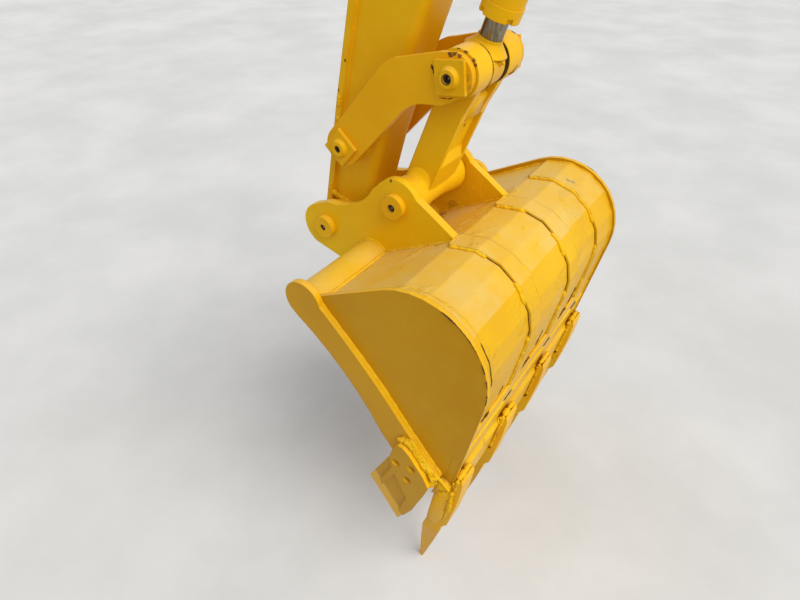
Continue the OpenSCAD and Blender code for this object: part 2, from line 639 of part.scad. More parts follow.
arm_box();
arm_under_plate();
nose_boss();
guide_boss();
boom_boss();
rear_bracket();
cylinder_bracket();
cylinder_base_pin();
guide_link_right();
guide_link_left();
guide_pin();
top_pin();
push_link();
cylinder_barrel();
cylinder_gland();
barrel_eye();
cylinder_rod();
rod_eye();
bucket_shell();
side_plate_right();
side_plate_left();
side_bar_right();
side_bar_left();
torque_tube();
ear_right();
ear_left();
lip_plate();
heel_plate();
wear_straps();
adapters();
teeth();
side_cutter_right();
side_cutter_left();
bucket_pin();
link_pins();
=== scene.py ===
"""Looks of an excavator's dipper arm with its bucket linkage, bucket cylinder and bucket.

Metres, in the part's frame: the boom pin at the origin, +X away from the machine, +Z up, all pins along Y.
Places are worked out in millimetres from the same driving sizes as the part's source.
"""

import math
import random

import bpy
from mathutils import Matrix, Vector


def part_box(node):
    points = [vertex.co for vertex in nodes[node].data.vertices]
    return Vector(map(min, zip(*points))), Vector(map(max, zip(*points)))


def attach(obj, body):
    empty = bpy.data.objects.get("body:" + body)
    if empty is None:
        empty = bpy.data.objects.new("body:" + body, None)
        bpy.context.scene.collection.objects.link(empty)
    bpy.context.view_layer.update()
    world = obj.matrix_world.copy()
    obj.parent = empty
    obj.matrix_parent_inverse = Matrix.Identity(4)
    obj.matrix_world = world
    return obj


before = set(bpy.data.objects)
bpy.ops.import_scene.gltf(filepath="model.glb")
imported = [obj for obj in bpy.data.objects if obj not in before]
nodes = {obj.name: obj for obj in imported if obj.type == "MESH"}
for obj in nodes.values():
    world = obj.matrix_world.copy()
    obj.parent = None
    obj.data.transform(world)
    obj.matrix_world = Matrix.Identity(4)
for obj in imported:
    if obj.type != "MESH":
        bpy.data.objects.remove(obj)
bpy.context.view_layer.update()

# Camera: a phone held about 1.6 m above the ground, 24.975 mm on a 36 mm wide frame
CAMERA_AT = (0.5437, -1.0623, -0.8278)
CAMERA_PITCH = 52.0
CAMERA_TURN = 34.8
CAMERA_LENS, CAMERA_FRAME = 24.975, 36.0
CAMERA_NEAR = 0.05


def make_camera():
    data = bpy.data.cameras.new("camera")
    data.sensor_width = CAMERA_FRAME
    data.lens = CAMERA_LENS
    data.clip_start = CAMERA_NEAR
    cam = bpy.data.objects.new("camera", data)
    cam.location = CAMERA_AT
    cam.rotation_euler = (math.radians(CAMERA_PITCH), 0.0, math.radians(CAMERA_TURN))
    bpy.context.scene.collection.objects.link(cam)
    bpy.context.scene.camera = cam


make_camera()

# A millimetre in metres, and the signs of the right and the left side
MM = 0.001
BOTH_SIDES = (-1, 1)

# Driving sizes of the part, in millimetres and degrees
ARM_LEN = 1600.0
ARM_LEAN = 12.0
ARM_HALF = 62.0
# From the arm's pin line to the under plate at the nose, and how far that plate stands out past the sides
NOSE_UNDER = 39.0
UNDER_PROUD = 12.0
# The guide links' pin on the arm, off the pin line and along the arm from the bucket pin
GUIDE_T, GUIDE_S = 5.0, 223.5
GUIDE_LEN = 350.5
GUIDE_OUT = 113.0
# The cylinder's base pin, off the pin line and along the arm from the bucket pin
BASE_T, BASE_S = 356.0, 1404.0
BARREL_R = 79.0 / 2
EYE_R = 46.0
# The push link: its casting from x to x, its half width, its fork's slot and its lower boss
PUSH_LEN = 321.0
CASTING_IN, CASTING_OUT = -36.0, 33.0
PUSH_HALF = 60.0
SLOT_HALF = 36.0
SLOT_ROOT = PUSH_LEN - EYE_R - 66.0
BOSS_R = 47.0
BUCKET_SWING = 27.7
# The link pin on the bucket, out from the bucket pin and above it
LINK_U, LINK_W = 251.0, 8.0
EAR_IN, EAR_T = 112.0, 22.0
EAR_OUT = EAR_IN + EAR_T
BUCKET_HALF, SIDE_T, BAR_T = 378.0, 12.0, 16.0
BUCKET_IN = BUCKET_HALF - SIDE_T
BAR_FACE = BUCKET_HALF + BAR_T
# How far the side plates' rim stands out past the shell, and how much of that the straps fill
RIM_PROUD = 14.0
STRAP_T = 6.0
TOP_DROP = 86.0
SHELL_TOP = -TOP_DROP - RIM_PROUD
SHELL_FRONT = 163.0
# The heel's upper and lower bend, and the turns at which the shell is folded along them
HEEL_R1, HEEL_R2 = 165.0, 190.0
HEEL_U = 360.0
HEEL_TURN = 37.5
FOLDS_HIGH = (84, 58, 36, 14)
FOLDS_LOW = (8, 23, HEEL_TURN)
FOLDS = FOLDS_HIGH + tuple(-t for t in FOLDS_LOW)
FLOOR_LEN = 297.0
TUBE_AT, TUBE_R = (112.0, -108.0), 50.0
BAR_TOP = (122.0, -88.0)
# Where the heel plate and the lip begin, past the corner along the floor
HEEL_FROM, LIP_BACK = -155.0, -100.0
STRAPS = ((-366.0, -346.0), (-160.0, -106.0), (60.0, 117.0), (252.0, 366.0))
TEETH = 4
TOOTH_PITCH = 230.0
ADAPTER_HALF = 29.0
# The side cutters' holes, along the mouth past the corner and across it, and their radius
CUTTER_HOLES = ((-114, -76), (-88, -40), (-62, -86))
HOLE_R = 11.0


def turn(p, degrees):
    """Turns a point (x, z) about the Y axis."""
    c, s = math.cos(math.radians(degrees)), math.sin(math.radians(degrees))
    return (p[0] * c + p[1] * s, -p[0] * s + p[1] * c)


def add(p, q):
    return (p[0] + q[0], p[1] + q[1])


def bearing(p, q):
    return -math.degrees(math.atan2(q[1] - p[1], q[0] - p[0]))


def crossing(p, rp, q, rq):
    """Where circles about p and q meet, to the left of the way from p to q."""
    d = math.dist(p, q)
    along = (d * d + rp * rp - rq * rq) / (2 * d)
    off = math.sqrt(rp * rp - along * along)
    ux, uz = (q[0] - p[0]) / d, (q[1] - p[1]) / d
    return (p[0] + ux * along - uz * off, p[1] + uz * along + ux * off)


def polar(centre, radius, degrees):
    a = math.radians(degrees)
    return (centre[0] + radius * math.cos(a), centre[1] + radius * math.sin(a))


# The pins: on the bucket, the guide links, the push link's two ends and the cylinder's base
PIN_A = turn((0.0, -ARM_LEN), ARM_LEAN)
PIN_B = add(PIN_A, turn((GUIDE_T, GUIDE_S), ARM_LEAN))
PIN_D = add(PIN_A, turn((LINK_U, LINK_W), -BUCKET_SWING))
PIN_C = crossing(PIN_B, GUIDE_LEN, PIN_D, PUSH_LEN)
PIN_K = add(PIN_A, turn((BASE_T, BASE_S), ARM_LEAN))
CYL_LEN = math.dist(PIN_K, PIN_C)


def placer(origin, degrees):
    """Turns x, y, z in a body's own frame, in millimetres, into a place in the part's frame."""
    def place(x, y, z):
        q = add(origin, turn((x, z), degrees))
        return Vector((q[0], y, q[1])) * MM
    return place


in_arm = placer(PIN_A, ARM_LEAN)
in_bucket = placer(PIN_A, -BUCKET_SWING)
in_guide = placer(PIN_B, bearing(PIN_B, PIN_C))
in_push = placer(PIN_D, bearing(PIN_D, PIN_C) + 90.0)
in_cylinder = placer(PIN_K, bearing(PIN_K, PIN_C) + 90.0)

# The rim's line in the bucket's plane: the bends' centres, the floor's way and the corner at its end
HEEL_M1 = (HEEL_U, -TOP_DROP - HEEL_R1)
HEEL_M2 = (HEEL_U + HEEL_R1 - HEEL_R2, HEEL_M1[1])
FLOOR_DIR = (-math.sin(math.radians(HEEL_TURN)), -math.cos(math.radians(HEEL_TURN)))
CORNER = add(polar(HEEL_M2, HEEL_R2, -HEEL_TURN), (FLOOR_DIR[0] * FLOOR_LEN, FLOOR_DIR[1] * FLOOR_LEN))
MOUTH = math.dist(BAR_TOP, CORNER)
MOUTH_DIR = ((CORNER[0] - BAR_TOP[0]) / MOUTH, (CORNER[1] - BAR_TOP[1]) / MOUTH)


def on_floor(a, y, b):
    """The place at y that is a past the side plates' corner along the floor and b inside the rim."""
    u, w = FLOOR_DIR
    return in_bucket(CORNER[0] + u * a + w * b, y, CORNER[1] + w * a - u * b)


def by_corner(along, across):
    """The point that is along past the corner on the mouth's line and across it towards the heel."""
    u, w = MOUTH_DIR
    return (CORNER[0] + u * along - w * across, CORNER[1] + w * along + u * across)


def along_mouth(y, points):
    """Places at y from pairs: the share of the way down the mouth, and the distance towards the heel."""
    run = [by_corner((share - 1) * MOUTH, across) for share, across in points]
    return [in_bucket(u, y, w) for u, w in run]


def fold_pt(t, d):
    """The point of the fold at the turn t, which is positive on the upper bend, d inside the rim."""
    return polar(HEEL_M1, HEEL_R1 - d, t) if t > 0 else polar(HEEL_M2, HEEL_R2 - d, t)


def on_heel(t, y, d):
    """The place at y on the folded shell at the turn t, d inside the rim."""
    t = min(max(t, FOLDS[-1]), FOLDS[0])
    high = min(fold for fold in FOLDS[:-1] if fold >= t)
    low = FOLDS[FOLDS.index(high) + 1]
    share = (high - t) / (high - low)
    p, q = fold_pt(high, d), fold_pt(low, d)
    return in_bucket(p[0] + (q[0] - p[0]) * share, y, p[1] + (q[1] - p[1]) * share)


def shell_run(y, d, t0, t1, floor_to=None):
    """Places along the shell at y from turn t0 down to turn t1, and on along the floor to floor_to."""
    turns = [t0] + [t for t in FOLDS if t0 > t > t1] + [t1]
    run = [on_heel(t, y, d) for t in turns]
    return run + ([on_floor(floor_to, y, d)] if floor_to is not None else [])


def circle(place, centre, radius, y, t0, t1, count=28):
    """Places at y on a circle of a body's plane, from turn t0 to turn t1."""
    run = [polar(centre, radius, t0 + (t1 - t0) * i / count) for i in range(count + 1)]
    return [place(p[0], y, p[1]) for p in run]


# Materials


class Graph:
    """A material's node tree, with short calls for the nodes that are used here."""
    BEVEL_SAMPLES = 6
    # How far a spot's edge wanders, in radii
    RAGGED = 1.1

    def __init__(self, name):
        self.mat = bpy.data.materials.new(name)
        self.mat.use_nodes = True
        self.tree = self.mat.node_tree
        self.tree.nodes.clear()
        self.out = self.tree.nodes.new("ShaderNodeOutputMaterial")
        self.bsdf = self.tree.nodes.new("ShaderNodeBsdfPrincipled")
        self.link(self.bsdf.outputs["BSDF"], self.out.inputs["Surface"])
        place = self.tree.nodes.new("ShaderNodeTexCoord")
        self.coords = place.outputs["Object"]
        self.facing = place.outputs["Normal"]
        self.wobble = None

    def link(self, a, b):
        self.tree.links.new(a, b)

    def put(self, value, socket):
        if isinstance(value, bpy.types.NodeSocket):
            self.link(value, socket)
        else:
            socket.default_value = value

    def noise(self, scale, detail=4.0, rough=0.55, where=None, distort=0.0):
        n = self.tree.nodes.new("ShaderNodeTexNoise")
        self.link(where or self.coords, n.inputs["Vector"])
        n.inputs["Scale"].default_value = scale
        n.inputs["Detail"].default_value = detail
        n.inputs["Roughness"].default_value = rough
        n.inputs["Distortion"].default_value = distort
        return n.outputs["Fac"]

    def cells(self, scale):
        n = self.tree.nodes.new("ShaderNodeTexVoronoi")
        self.link(self.coords, n.inputs["Vector"])
        n.inputs["Scale"].default_value = scale
        return n.outputs["Distance"]

    def stretched(self, scale):
        n = self.tree.nodes.new("ShaderNodeMapping")
        self.link(self.coords, n.inputs["Vector"])
        n.inputs["Scale"].default_value = scale
        return n.outputs["Vector"]

    def ramp(self, value, low, high, a=0.0, b=1.0):
        n = self.tree.nodes.new("ShaderNodeMapRange")
        n.interpolation_type = "SMOOTHSTEP"
        self.put(value, n.inputs["Value"])
        for key, v in (("From Min", low), ("From Max", high), ("To Min", a), ("To Max", b)):
            n.inputs[key].default_value = v
        return n.outputs["Result"]

    def math(self, op, a, b=0.0, c=0.0):
        n = self.tree.nodes.new("ShaderNodeMath")
        n.operation = op
        for v, s in zip((a, b, c), n.inputs):
            self.put(v, s)
        return n.outputs["Value"]

    def part(self, vector, axis):
        n = self.tree.nodes.new("ShaderNodeSeparateXYZ")
        self.link(vector, n.inputs["Vector"])
        return n.outputs[axis]

    def mix(self, fac, a, b, blend="MIX"):
        n = self.tree.nodes.new("ShaderNodeMix")
        n.data_type = "RGBA"
        n.blend_type = blend
        self.put(fac, n.inputs["Factor"])
        for v, s in ((a, n.inputs["A"]), (b, n.inputs["B"])):
            self.put(v if isinstance(v, bpy.types.NodeSocket) else (*v, 1.0), s)
        return n.outputs["Result"]

    def vector(self, operation, a, b):
        n = self.tree.nodes.new("ShaderNodeVectorMath")
        n.operation = operation
        self.put(a, n.inputs[0])
        self.put(b, n.inputs[1])
        return n.outputs["Value" if operation == "DISTANCE" else "Vector"]

    def near(self, point, radius):
        """1 within about radius of a point, with a ragged edge."""
        if self.wobble is None:
            self.wobble = self.noise(110.0, 5.0, 0.65)
        ragged = self.RAGGED * radius
        off = self.math("MULTIPLY_ADD", self.wobble, 2 * ragged, -ragged)
        away = self.vector("DISTANCE", self.coords, point)
        return self.ramp(self.math("ADD", away, off), radius * 1.08, radius * 0.9)

    def off_line(self, point):
        """Distance from the line along Y through a point."""
        flat = self.vector("MULTIPLY", self.coords, (1.0, 0.0, 1.0))
        return self.vector("DISTANCE", flat, (point[0], 0.0, point[2]))

    def bump(self, height, strength, distance, normal=None):
        n = self.tree.nodes.new("ShaderNodeBump")
        self.put(height, n.inputs["Height"])
        n.inputs["Strength"].default_value = strength
        n.inputs["Distance"].default_value = distance
        if normal is not None:
            self.link(normal, n.inputs["Normal"])
        return n.outputs["Normal"]

    def bevel(self, radius):
        n = self.tree.nodes.new("ShaderNodeBevel")
        n.samples = self.BEVEL_SAMPLES
        self.put(radius, n.inputs["Radius"])
        return n.outputs["Normal"]


PAINT = (0.84, 0.465, 0.004)
PAINT_DEEP = (0.77, 0.40, 0.002)
PAINT_PALE = (0.89, 0.56, 0.022)
SHEEN = (1.0, 0.76, 0.16, 1.0)
DUST_AND_SHEEN = (0.72, 0.56, 0.24)
RUST = (0.16, 0.060, 0.018)
DARK = (0.032, 0.020, 0.011)
GREASE = (0.15, 0.095, 0.035)
OLIVE_SHADE = (0.34, 0.27, 0.03)
GREY = (0.24, 0.22, 0.15)
CHROME_DARK, CHROME_PALE = (0.155, 0.120, 0.075), (0.34, 0.29, 0.20)
ZINC_DARK, ZINC_PALE = (0.20, 0.17, 0.11), (0.34, 0.30, 0.22)


def paint(name, shade=(1.0, 1.0), flank_shade=None, grain=0.22, blotch=0.5, dust_and_sheen=0.15, low_dust_and_sheen=0.15, edge=0.003,
          crisp=None, rough=(0.30, 0.46), pits=0.0, chips=0.0, sags=0.0, spots=()):
    """Sprayed yellow paint over steel.

    shade scales the colour's red and green, and flank does so again on faces that look along the pins, as
    painted shade.
    grain is the depth of the orange peel and blotch the strength of the paler patches. dust is the
    strength of a pale coat on faces that look up, partly a real dusting and partly a painted sheen of the
    sky, and low_dust_and_sheen its share on the other faces. pits, chips and sags are the coat's faults,
    and spots its single marks. edge is the rounding of the edges in metres, and crisp a place on the one
    fold that keeps a small one.
    """
    def tone(colour):
        return (colour[0] * shade[0], colour[1] * shade[1], colour[2])

    g = Graph(name)
    broad = g.noise(3.2, 3.0, 0.5)
    patches = g.noise(17.0, 5.0, 0.6)
    fine = g.noise(340.0, 3.0, 0.6)
    peel = g.noise(900.0, 2.0, 0.5)
    colour = g.mix(g.ramp(broad, 0.35, 0.68), tone(PAINT_DEEP), tone(PAINT))
    pale = g.math("MULTIPLY", g.ramp(patches, 0.45, 0.72), blotch * 0.4)
    colour = g.mix(pale, colour, tone(PAINT_PALE))
    # A paler coat on faces that look up: partly dust, partly a painted sheen of the sky on the tops.
    upward = g.ramp(g.part(g.facing, "Z"), 0.55, 0.78, low_dust_and_sheen, 1.0)
    dust_and_sheen_share = g.math("MULTIPLY", g.ramp(g.noise(7.0, 8.0, 0.72), 0.34, 0.72, 0.25, 1.0), dust_and_sheen)
    colour = g.mix(g.math("MULTIPLY", dust_and_sheen_share, upward), colour, tone(DUST_AND_SHEEN))
    specks = g.ramp(g.cells(95.0), 0.045, 0.028)
    thinned = g.ramp(g.noise(21.0, 2.0), 0.56, 0.62)
    colour = g.mix(g.math("MULTIPLY", g.math("MULTIPLY", specks, thinned), 0.75), colour, RUST)
    if pits:
        patchy = g.ramp(g.noise(60.0, 2.0), 0.60 - 0.12 * pits, 0.66)
        pores = g.math("MULTIPLY", g.ramp(g.cells(210.0), 0.16, 0.10), patchy)
        colour = g.mix(g.math("MULTIPLY", pores, 0.85), colour, RUST)
    if chips:
        bare = 0.675 - 0.05 * chips
        torn = g.ramp(g.noise(42.0, 6.0, 0.72, distort=0.6), bare, bare + 0.02)
        colour = g.mix(g.math("MULTIPLY", torn, 0.85), colour, g.mix(g.noise(120.0), RUST, DARK))
    # Painted shade: faces that look along the pins are made darker than the other faces.
    if flank_shade:
        sideways = g.ramp(g.math("ABSOLUTE", g.part(g.facing, "Y")), 0.988, 0.997)
        colour = g.mix(sideways, colour, (*flank_shade, 1.0), "MULTIPLY")
    for point, radius, hue, strength in spots:
        colour = g.mix(g.math("MULTIPLY", g.near(point, radius), strength), colour, hue)
    g.link(colour, g.bsdf.inputs["Base Color"])
    g.put(g.ramp(patches, 0.3, 0.75, *rough), g.bsdf.inputs["Roughness"])
    g.bsdf.inputs["IOR"].default_value = 1.38
    g.bsdf.inputs["Specular IOR Level"].default_value = 0.34
    g.bsdf.inputs["Specular Tint"].default_value = SHEEN
    normal = g.bevel(edge if crisp is None else g.ramp(g.off_line(crisp), 0.024, 0.040, 0.0015, edge))
    waves = g.math("MULTIPLY_ADD", patches, 0.7, g.math("MULTIPLY", peel, 0.12))
    normal = g.bump(waves, 0.18, 0.004, normal)
    normal = g.bump(g.math("ADD", fine, g.math("MULTIPLY", specks, 0.6)), grain, 0.0012, normal)
    if sags:
        runs = g.noise(75.0, 3.0, 0.6, distort=1.2)
        drips = g.math("MULTIPLY", g.ramp(g.noise(8.5, 3.0), 0.53, 0.64), runs)
        normal = g.bump(drips, sags, 0.008, normal)
    g.link(normal, g.bsdf.inputs["Normal"])
    return g.mat


def chrome(name):
    g = Graph(name)
    g.bsdf.inputs["Metallic"].default_value = 1.0
    streaks = g.noise(6.0, 5.0, 0.6, where=g.stretched((26.0, 26.0, 1.0)))
    g.link(g.mix(g.ramp(streaks, 0.35, 0.7), CHROME_DARK, CHROME_PALE), g.bsdf.inputs["Base Color"])
    g.put(g.ramp(streaks, 0.3, 0.7, 0.16, 0.34), g.bsdf.inputs["Roughness"])
    return g.mat


def dark_metal(name, low, high, rough, metallic=0.0):
    """A mottled coat between two colours, without sheen."""
    g = Graph(name)
    g.link(g.mix(g.noise(150.0, 4.0), low, high), g.bsdf.inputs["Base Color"])
    g.bsdf.inputs["Roughness"].default_value = rough
    g.bsdf.inputs["Metallic"].default_value = metallic
    g.bsdf.inputs["Specular IOR Level"].default_value = 0.2
    g.link(g.bump(g.noise(500.0), 0.3, 0.001), g.bsdf.inputs["Normal"])
    return g.mat


def spots(place, *table):
    """Spots of a paint, from rows of a place in a body's frame, a radius, a colour and its strength."""
    return tuple((tuple(place(*at)), radius * MM, hue, strength) for at, radius, hue, strength in table)


SHARP_FOLD = on_heel(FOLDS_HIGH[-1], 0, RIM_PROUD - STRAP_T)
plate_paint = paint("paint_plate", shade=(1.06, 1.06), spots=spots(
    in_arm,
    ((-54, -ARM_HALF - UNDER_PROUD, 328), 3.5, DARK, 0.8),
    ((-42, -ARM_HALF - UNDER_PROUD, 401), 3.0, DARK, 0.8)))
link_paint = paint("paint_links", shade=(1.07, 1.00), spots=spots(
    in_guide,
    ((370, -GUIDE_OUT, 38), 6.5, RUST, 0.95),
    ((378, 1 - GUIDE_OUT, 33), 6.0, RUST, 0.95),
    ((386, 1 - GUIDE_OUT, 25), 5.5, RUST, 0.9),
    # The two olive spots below the keeper plate are painted shade on the link's face.
    ((380, -GUIDE_OUT, -16), 6.0, OLIVE_SHADE, 0.6),
    ((376, -GUIDE_OUT, -34), 5.0, OLIVE_SHADE, 0.6),
    ((387, GUIDE_OUT - 4, 25), 6.0, RUST, 0.95)))
# The ears are painted lighter than the plates: painted light in the recess between them.
ear_paint = paint("paint_ears", shade=(1.08, 1.16), pits=0.2, spots=spots(
    in_bucket,
    ((267, -EAR_OUT, 65), 3.5, DARK, 0.8),
    ((214, EAR_IN, -92), 16.0, RUST, 0.35)))
shell_spots = spots(
    in_bucket,
    ((188, 80, SHELL_TOP), 20.0, RUST, 0.5),
    ((206, 50, SHELL_TOP), 16.0, RUST, 0.4),
    ((331, -138, SHELL_TOP), 9.0, RUST, 0.5),
    ((465, 280, -138), 6.0, GREY, 0.6),
    ((474, 283, -147), 6.0, GREY, 0.6))
# The shell's tops get a strong pale coat: dust and also a painted sheen of the sky.
shell_paint = paint("paint_shell", shade=(0.98, 1.0), rough=(0.38, 0.54), sags=0.55, dust_and_sheen=0.55,
                    low_dust_and_sheen=0.10, edge=0.008, crisp=SHARP_FOLD, pits=0.3, spots=shell_spots)
# Painted shade on the side plates, bars, lip and cutters: faces along the pins darker than their edges.
side_paint = paint("paint_side", flank_shade=(0.74, 0.67), dust_and_sheen=0.2, blotch=0.6)
bar_paint = paint("paint_bars", shade=(1.02, 1.02), flank_shade=(0.78, 0.73), dust_and_sheen=0.2, blotch=0.6, pits=0.3)
lip_paint = paint("paint_lip", shade=(1.0, 1.02), flank_shade=(0.74, 0.67), grain=0.5, chips=0.6, pits=0.8,
                  dust_and_sheen=0.3, blotch=0.8)
cutter_paint = paint("paint_cutters", shade=(1.12, 1.12), flank_shade=(0.66, 0.625), grain=0.4, dust_and_sheen=0.15,
                     blotch=0.6, edge=0.004, pits=0.2)
tube_paint = paint("paint_tube", shade=(0.95, 1.02), pits=0.3, dust_and_sheen=0.3)
tooth_paint = paint("paint_teeth", shade=(1.0, 0.95), grain=0.5, chips=0.35, pits=0.5, dust_and_sheen=0.4, blotch=0.8)
cast_spots = spots(
    in_push,
    ((-18, -96, 369), 5.0, RUST, 0.9),
    ((1, -96, 370), 4.5, RUST, 0.9),
    ((22, -95, 364), 4.5, RUST, 0.9),
    ((28, -96, 358), 4.0, RUST, 0.9),
    ((21, 11, 182), 4.0, DARK, 0.9))
# The push link is painted lighter, but not its faces along the pins: painted light on its other faces.
cast_paint = paint("paint_cast", shade=(1.15, 1.20), flank_shade=(0.88, 0.86), grain=0.4, edge=0.006, blotch=0.3,
                   spots=cast_spots)
worn_paint = paint("paint_worn", shade=(1.08, 1.08), grain=0.5, chips=0.6, pits=0.8, dust_and_sheen=0.3, blotch=0.8)
weld_paint = paint("paint_weld", shade=(1.04, 1.08), grain=0.5, pits=0.4, blotch=0.9, edge=0.0005)
pin_paint = paint("paint_pins", shade=(1.04, 1.04), chips=0.25)
rod_metal = chrome("rod_chrome")
# Open slots and seams are dark tubes: rust, and painted shade inside the gaps.
slot_rust_and_shade = dark_metal("open_gap_rust_and_shade", DARK, RUST, 0.9)
grease_dark = dark_metal("old_grease", DARK, GREASE, 0.7)
nipple_metal = dark_metal("nipple_zinc", ZINC_DARK, ZINC_PALE, 0.4, 0.8)

# Every other node has the plates' paint
FINISH = {
    "cylinder_rod": rod_metal,
    "push_link": cast_paint,
    "guide_link_right": link_paint,
    "guide_link_left": link_paint,
    "guide_pin": pin_paint,
    "top_pin": pin_paint,
    "bucket_pin": pin_paint,
    "link_pins": pin_paint,
    "ear_right": ear_paint,
    "ear_left": ear_paint,
    "torque_tube": tube_paint,
    "bucket_shell": shell_paint,
    "wear_straps": shell_paint,
    "side_plate_right": side_paint,
    "side_plate_left": side_paint,
    "side_bar_right": bar_paint,
    "side_bar_left": bar_paint,
    "side_cutter_right": cutter_paint,
    "side_cutter_left": cutter_paint,
    "heel_plate": lip_paint,
    "lip_plate": lip_paint,
    "adapters": worn_paint,
    "teeth": tooth_paint,
}
for name, obj in nodes.items():
    obj.data.materials.clear()
    obj.data.materials.append(FINISH.get(name, plate_paint))

# Pieces


class Mesh:
    """Collects vertices and faces of one piece. Radii are in millimetres, places in metres."""

    def __init__(self):
        self.verts = []
        self.faces = []

    def ring(self, centre, side, up, radius, count):
        first = len(self.verts)
        for i in range(count):
            a = 2 * math.pi * i / count
            self.verts.append(centre + (side * math.cos(a) + up * math.sin(a)) * (radius * MM))
        return first

    def band(self, low, high, count):
        for i in range(count):
            j = (i + 1) % count
            self.faces.append((low + i, low + j, high + j, high + i))

    def cap(self, first, count):
        self.faces.append(tuple(range(first, first + count)))

    def cap_back(self, first, count):
        self.faces.append(tuple(range(first + count - 1, first - 1, -1)))

    def loft(self, sections):
        """A closed skin through sections with as many points each."""
        count = len(sections[0])
        start = len(self.verts)
        for i, section in enumerate(sections):
            self.verts += section
            if i:
                self.band(start + (i - 1) * count, start + i * count, count)
        self.cap_back(start, count)
        self.cap(len(self.verts) - count, count)

    def lathe(self, centre, axis, profile, count=14):
        """Turns a profile of (distance along the axis, radius) pairs around it, and closes its end."""
        side = axis.orthogonal().normalized()
        up = axis.cross(side).normalized()
        last = None
        for along, radius in profile:
            ring = self.ring(centre + axis * (along * MM), side, up, radius, count)
            if last is not None:
                self.band(last, ring, count)
            last = ring
        self.cap(last, count)

    def washer(self, centre, across, up, outer, inner, count):
        """A flat ring between two radii."""
        rings = [self.ring(centre, across, up, radius, count) for radius in (outer, inner)]
        self.band(rings[0], rings[1], count)

    def make(self, name, body, material):
        data = bpy.data.meshes.new(name)
        data.from_pydata([tuple(v) for v in self.verts], [], self.faces)
        data.validate()
        for face in data.polygons:
            face.use_smooth = True
        data.materials.append(material)
        obj = bpy.data.objects.new(name, data)
        bpy.context.scene.collection.objects.link(obj)
        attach(obj, body)


def resample(path, step):
    """Points every step along a polyline, with their directions."""
    out = []
    for p, q in zip(path[:-1], path[1:]):
        length = (q - p).length
        if length == 0:
            continue
        count = max(1, round(length / step))
        out += [(p + (q - p) * (i / count), (q - p) / length) for i in range(count)]
    out.append((path[-1], out[-1][1]))
    return out


class Welds(Mesh):
    """Weld beads, which are lumpy tubes along the corners that they fill, and lumps of spatter."""
    SIDES = 7
    STEP = 2.6
    PIN_AXIS = Vector((0, 1, 0))
    # A bead's radius at the bottom of its ripples, and how much they add
    RIPPLE_LOW, RIPPLE_RISE = 0.76, 0.32
    # A bead's radius at its tips, and how much each step adds
    TIP_LOW, TIP_RISE = 0.3, 0.35
    # How much of a swelling is gone after a step, and how far spatter lies off, in radii
    SETTLE = 0.25
    SCATTER = 1.1
    DROP_RINGS, DROP_SIDES = 3, 6

    def __init__(self, seed):
        super().__init__()
        self.rng = random.Random(seed)

    def off_centre(self):
        return self.rng.random() - 0.5

    def bead(self, path, radius, pitch=5.5, lumps=0.16, wide=1.0):
        """A rippled tube along a path. wide stretches it along the pins' direction."""
        samples = resample(path, self.STEP * MM)
        start = self.rng.random()
        swell = 1.0
        last = None
        for k, (point, way) in enumerate(samples):
            side = way.orthogonal() if abs(way.y) > 0.9 else way.cross(self.PIN_AXIS)
            side = side.normalized()
            up = side.cross(way).normalized()
            swell += (1.0 - swell) * self.SETTLE + self.off_centre() * 2 * lumps
            wave = abs(math.sin(math.pi * (k * self.STEP / pitch + start)))
            ripple = self.RIPPLE_LOW + self.RIPPLE_RISE * wave
            tip = min(1.0, self.TIP_LOW + self.TIP_RISE * min(k, len(samples) - 1 - k))
            off = (side * self.off_centre() + up * self.off_centre()) * (radius * MM * lumps)
            ring = self.ring(point + off, side, up * wide, radius * ripple * swell * tip, self.SIDES)
            if last is None:
                self.cap_back(ring, self.SIDES)
            else:
                self.band(last, ring, self.SIDES)
            last = ring
        self.cap(last, self.SIDES)

    def blobs(self, path, radius, count):
        """Single lumps of spatter beside a path."""
        for _ in range(count):
            k = self.rng.random() * (len(path) - 1)
            i = int(k)
            p = path[i] + (path[i + 1] - path[i]) * (k - i)
            off = Vector([self.rng.gauss(0, 1) for _ in range(3)]) * (radius * MM * self.SCATTER)
            self.drop(p + off, radius * (0.5 + 0.8 * self.rng.random()))

    def drop(self, centre, radius):
        first = len(self.verts)
        rings, count = self.DROP_RINGS, self.DROP_SIDES
        for j in range(1, rings + 1):
            a = math.pi * j / (rings + 1)
            middle = centre + Vector((0, 0, math.cos(a) * radius * MM))
            self.ring(middle, Vector((1, 0, 0)), Vector((0, 1, 0)), math.sin(a) * radius, count)
        for j in range(rings - 1):
            self.band(first + (j + 1) * count, first + j * count, count)
        self.cap(first, count)
        self.cap_back(first + (rings - 1) * count, count)


def between(slots):
    """The turns that are left between open slots, each given as its upper and lower turn."""
    edges = [FOLDS_HIGH[0]] + [t for slot in slots for t in slot] + [-HEEL_TURN]
    return [pair for pair in zip(edges[::2], edges[1::2]) if pair[0] - pair[1] > 0.5]


